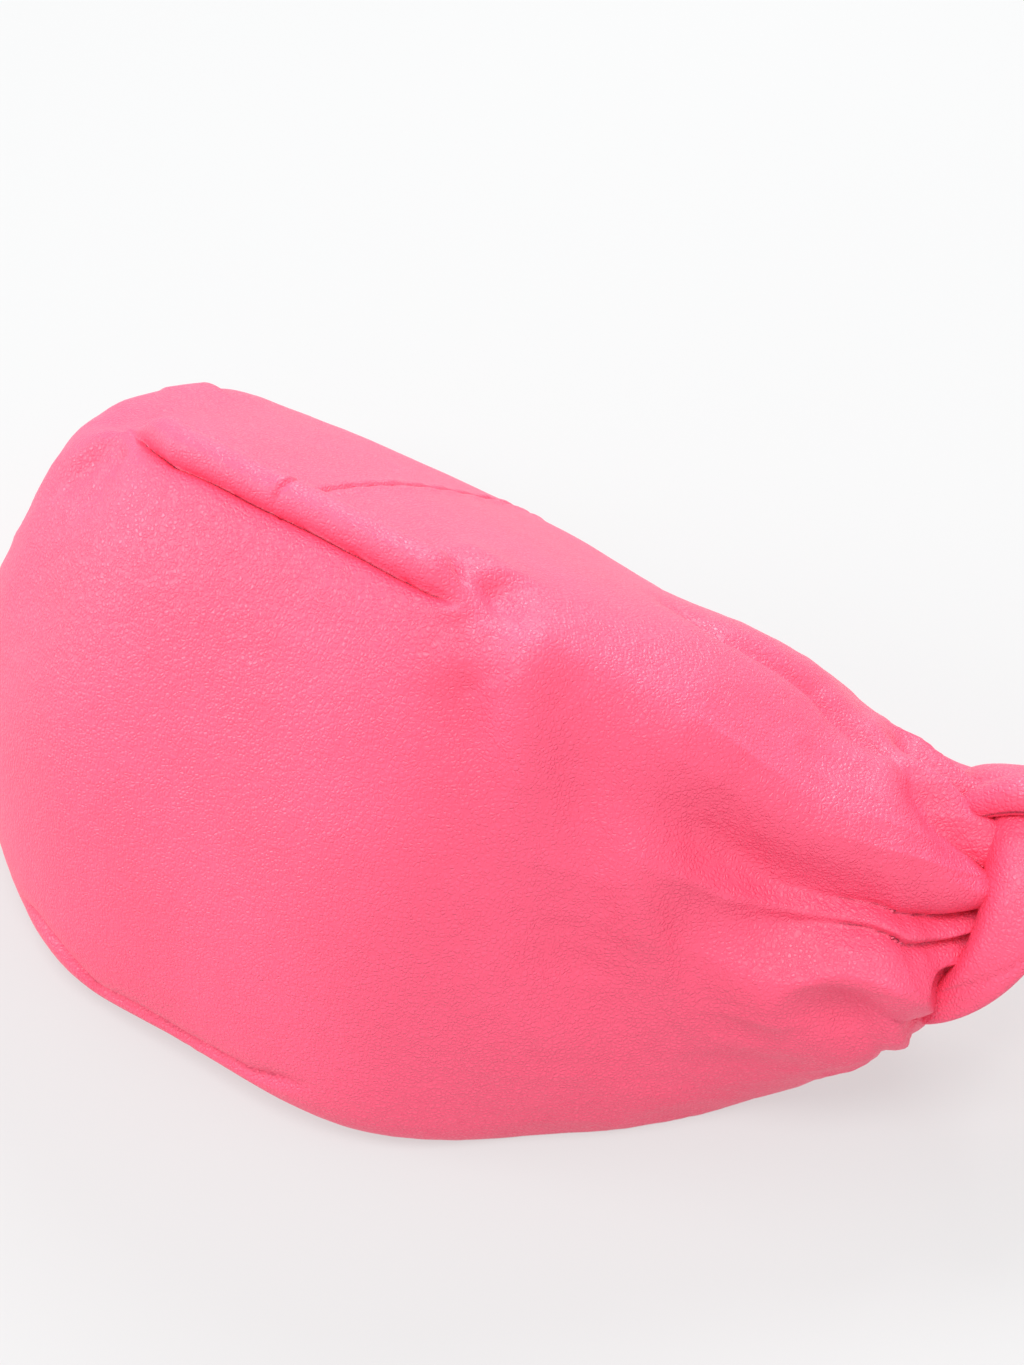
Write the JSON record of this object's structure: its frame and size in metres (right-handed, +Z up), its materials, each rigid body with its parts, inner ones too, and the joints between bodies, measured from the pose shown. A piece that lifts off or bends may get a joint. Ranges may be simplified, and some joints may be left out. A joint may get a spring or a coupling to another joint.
{
  "type": "knotted top handle bag",
  "caption": "Soft leather pouch bag lying on its back, with gathered ends, knotted top handle, snap and inner zip pocket.",
  "frame": {"origin": "middle of the flat stretch of the back panel, which lies on the surface", "axes": "+X along the bag towards its right knot, +Y from the base to the mouth, +Z up from the back panel to the front panel"},
  "size_m": [0.3656, 0.1863, 0.1294],
  "materials": {
    "outer_leather": "soft grained lambskin, low sheen",
    "facing_leather": "smooth lambskin",
    "lining_cloth": "brushed woven cloth",
    "seam_tape": "woven tape",
    "zip_cloth": "woven zip tape",
    "core_foam": "soft felted filler",
    "gilt_metal": "polished gilt"
  },
  "bodies": {
    "bag": {"outer_body": "outer_leather", "lining": "lining_cloth", "front_facing": "facing_leather", "back_facing": "facing_leather", "front_seam_tape": "seam_tape", "back_seam_tape": "seam_tape", "inner_tag": "facing_leather", "snap_socket": "gilt_metal", "snap_stud": "gilt_metal", "pocket_bag": "lining_cloth", "zip_tape_upper": "zip_cloth", "zip_tape_lower": "zip_cloth", "zip_teeth_upper": "gilt_metal", "zip_teeth_lower": "gilt_metal", "zip_stop_start": "gilt_metal", "zip_stop_end": "gilt_metal", "right_knot_wrap": "outer_leather", "right_knot_turn": "outer_leather", "left_knot_wrap": "outer_leather", "left_knot_turn": "outer_leather"},
    "handle": {"handle": "outer_leather", "handle_core": "core_foam"},
    "slider": {"zip_slider": "gilt_metal"},
    "pull": {"zip_pull": "gilt_metal"}
  },
  "joints": [
    {"name": "handle_swing", "type": "hinge", "parent": "bag", "child": "handle", "pos_m": [0, 0.091, 0.018], "axis": [1, 0, 0], "range_deg": [0, 75]},
    {"name": "zip_slide", "type": "slide", "parent": "bag", "child": "slider", "axis": [1, 0, 0], "range_m": [0, 0.081]},
    {"name": "zip_pull_tilt", "type": "hinge", "parent": "slider", "child": "pull", "pos_m": [-0.03975, 0.029, 0.0134], "axis": [0, -1, 0], "range_deg": [0, 150]}
  ]
}
